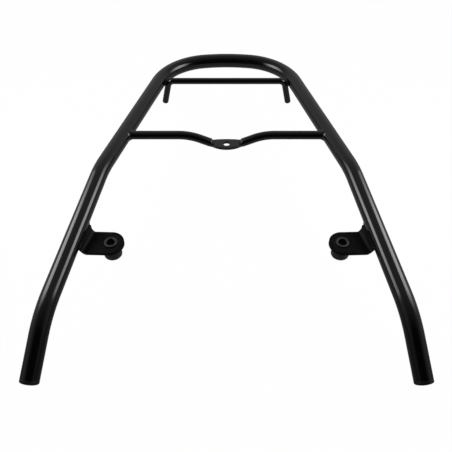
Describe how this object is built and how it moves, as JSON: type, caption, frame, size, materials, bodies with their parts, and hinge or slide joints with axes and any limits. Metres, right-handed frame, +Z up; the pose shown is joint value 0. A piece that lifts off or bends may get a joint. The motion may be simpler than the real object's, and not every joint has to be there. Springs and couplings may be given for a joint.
{
  "type": "scooter luggage rack",
  "caption": "Black tubular luggage rack with a hooped rear, a forged and drilled cross bar, rear pegs and bush-mounted brackets.",
  "frame": {"origin": "bottom centre of the rack's bounding box", "axes": "+Z up, square to the level hoop; +Y towards the rear of the vehicle, where the hoop closes; +X towards the vehicle's right"},
  "size_m": [0.3774, 0.4536, 0.0851],
  "materials": {
    "black_paint": "gloss black paint on steel",
    "bush_rubber": "matt black moulded rubber",
    "sleeve_steel": "plain turned steel",
    "plug_plastic": "black moulded plastic"
  },
  "bodies": {
    "root": {"main_tube": "black_paint", "rear_bar": "black_paint", "cross_bar": "black_paint", "bracket_left": "black_paint", "bracket_right": "black_paint", "bush_left": "bush_rubber", "bush_right": "bush_rubber", "sleeve_left": "sleeve_steel", "sleeve_right": "sleeve_steel", "end_plug_left": "plug_plastic", "end_plug_right": "plug_plastic"}
  },
  "joints": []
}
